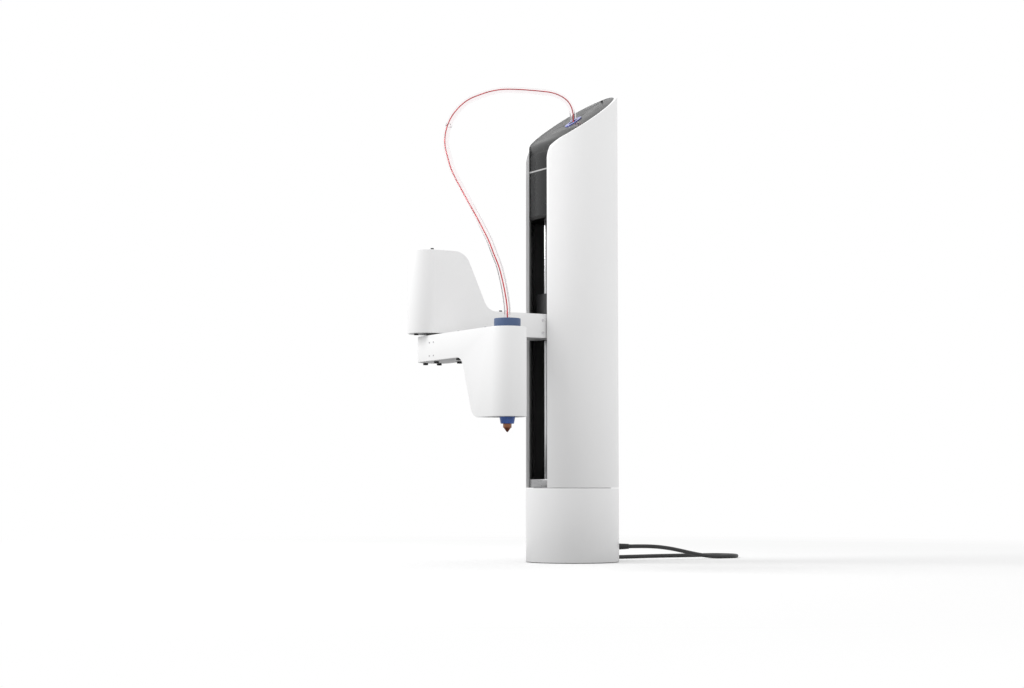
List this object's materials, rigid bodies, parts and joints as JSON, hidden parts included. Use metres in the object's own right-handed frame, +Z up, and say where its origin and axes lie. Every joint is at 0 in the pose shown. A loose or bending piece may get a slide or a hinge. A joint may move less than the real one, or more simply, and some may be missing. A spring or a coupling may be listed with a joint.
{
  "type": "fdm printer",
  "caption": "Column-shaped filament printer with a turning column, a lifting arm, an elbow, a print head, a feed tube and a mains lead.",
  "frame": {"origin": "on the floor at the centre of the round base", "axes": "+Z up along the column's axis, -Y the way the slot and the upper arm face, +X the way the forearm points at rest"},
  "size_m": [0.388, 0.604, 0.7115],
  "materials": {
    "white_shell": "satin",
    "cover_grey": "matte",
    "hood_grey": "matte",
    "black_plastic": "matte",
    "light_strip": "satin",
    "blue_port": "satin",
    "blue_cap": "matte",
    "blue_sock": "matte",
    "black_rubber": "matte",
    "clear_tube": "clear",
    "pin_brass": "satin",
    "ballast_iron": "rough",
    "bearing_steel": "polished",
    "black_screws": "oxide",
    "motor_body": "painted",
    "silver_alloy": "satin",
    "carriage_alloy": "anodised",
    "circuit_green": "matte",
    "supply_case": "satin",
    "red_filament": "satin"
  },
  "bodies": {
    "base": {"foot_pad": "black_rubber", "base_plate": "silver_alloy", "base_housing": "white_shell", "ballast_weight": "ballast_iron", "power_supply": "supply_case", "control_board": "circuit_green", "turn_motor": "motor_body", "turn_gearbox": "silver_alloy", "bearing_support": "silver_alloy", "lower_bearing_race": "bearing_steel", "strain_relief": "black_rubber", "mains_cord": "black_rubber", "cord_coil": "black_rubber", "cord_tail": "black_rubber", "mains_plug": "black_rubber", "plug_pins": "pin_brass"},
    "column": {"bearing_balls": "bearing_steel", "upper_bearing_race": "bearing_steel", "turn_output_shaft": "bearing_steel", "turntable_hub": "silver_alloy", "tower_shell": "white_shell", "inner_liner": "black_plastic", "guide_rods": "bearing_steel", "upper_plate": "black_plastic", "lift_motor": "motor_body", "top_hood": "hood_grey", "front_light_strip": "light_strip", "feed_port": "blue_port", "feed_tube_upper": "clear_tube"},
    "button": {"power_button": "black_plastic"},
    "screw": {"lead_screw": "bearing_steel"},
    "carriage": {"carriage_block": "carriage_alloy", "linear_bearings": "bearing_steel", "lead_nut": "pin_brass", "upper_arm_shell": "white_shell", "upper_arm_plate": "cover_grey", "upper_arm_screws": "bearing_steel", "housing_screws": "black_screws", "elbow_motor": "motor_body", "elbow_gearbox": "silver_alloy", "elbow_bearing": "bearing_steel"},
    "forearm": {"elbow_hub": "black_plastic", "forearm_shell": "white_shell", "forearm_plate": "cover_grey", "head_plate": "cover_grey", "forearm_screws": "black_screws", "cover_screws": "bearing_steel", "head_cap": "blue_cap", "feed_tube_lower": "clear_tube", "extruder_body": "silver_alloy", "extruder_motor": "motor_body", "heat_sink": "silver_alloy", "heater_block": "silver_alloy", "heater_sock": "blue_sock", "nozzle": "pin_brass", "fan_frame": "black_plastic"},
    "fan": {"fan_rotor": "black_plastic"},
    "drive_wheel": {"drive_gear": "bearing_steel"},
    "idler": {"idler_wheel": "bearing_steel"}
  },
  "joints": [
    {"name": "tower_turn", "type": "hinge", "parent": "base", "child": "column", "pos_m": [0, 0, 0.11], "axis": [0, 0, 1], "range_deg": [-165, 165]},
    {"name": "button_press", "type": "slide", "parent": "column", "child": "button", "axis": [0, -0.5735, 0.8192], "range_m": [-0.0012, 0], "stiffness_N_per_m": 300, "springref_m": 0.0005},
    {"name": "screw_spin", "type": "hinge", "parent": "column", "child": "screw", "pos_m": [0, -0.022, 0.3], "axis": [0, 0, 1], "continuous": true},
    {"name": "carriage_lift", "type": "slide", "parent": "column", "child": "carriage", "axis": [0, 0, 1], "range_m": [-0.182, 0.106], "deforming": ["feed_tube_upper"]},
    {"name": "elbow_turn", "type": "hinge", "parent": "carriage", "child": "forearm", "pos_m": [0, -0.2334, 0.33], "axis": [0, 0, 1], "range_deg": [-235, 55], "deforming": ["feed_tube_lower"]},
    {"name": "drive_spin", "type": "hinge", "parent": "forearm", "child": "drive_wheel", "pos_m": [0.19312, -0.2334, 0.301], "axis": [0, 1, 0], "continuous": true},
    {"name": "idler_spin", "type": "hinge", "parent": "forearm", "child": "idler", "pos_m": [0.20688, -0.2334, 0.301], "axis": [0, 1, 0], "continuous": true},
    {"name": "fan_spin", "type": "hinge", "parent": "forearm", "child": "fan", "pos_m": [0.175, -0.2334, 0.251], "axis": [1, 0, 0], "continuous": true}
  ],
  "couplings": [
    {"joint": "screw_spin", "follows": "carriage_lift", "rad_per_m": -785.4},
    {"joint": "idler_spin", "follows": "drive_spin", "ratio": -1}
  ]
}
